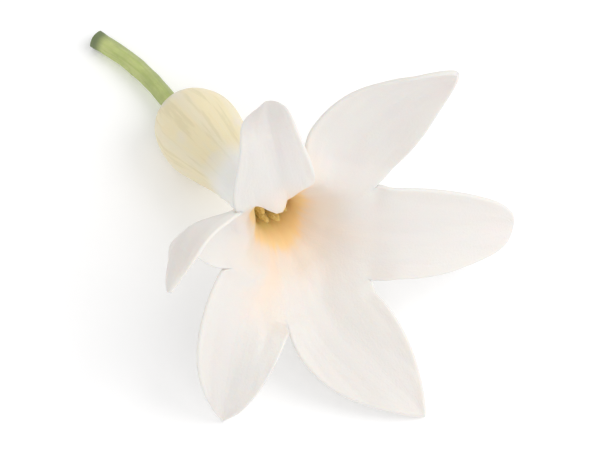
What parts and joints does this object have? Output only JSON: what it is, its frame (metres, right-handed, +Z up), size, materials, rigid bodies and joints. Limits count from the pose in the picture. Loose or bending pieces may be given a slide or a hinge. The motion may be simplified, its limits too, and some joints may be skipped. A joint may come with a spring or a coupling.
{
  "type": "single floret of a cut flower",
  "caption": "Cut floret lying as dropped: white spreading tepals on a cream tube with a swollen base, ochre throat, bent green stalk.",
  "frame": {"origin": "on the surface that the floret lies on, under the middle of its bounding box", "axes": "+Z up from the surface, -Y the level direction that the mouth of the tube faces, +X to the right seen from the mouth's side"},
  "size_m": [0.0336, 0.0482, 0.0291],
  "materials": {
    "stalk": "fresh green stalk, satin",
    "tube": "waxy cream tissue with lengthwise veins",
    "tepal": "waxy white tissue with a faint pink cast",
    "pistil": "satin green",
    "stamen": "dull yellow"
  },
  "bodies": {
    "root": {"stalk": "stalk", "tube": "tube", "outer_tepal_1": "tepal", "outer_tepal_2": "tepal", "outer_tepal_3": "tepal", "inner_tepal_1": "tepal", "inner_tepal_2": "tepal", "inner_tepal_3": "tepal", "pistil": "pistil", "stamen_1": "stamen", "stamen_2": "stamen", "stamen_3": "stamen", "stamen_4": "stamen", "stamen_5": "stamen", "stamen_6": "stamen"}
  },
  "joints": []
}
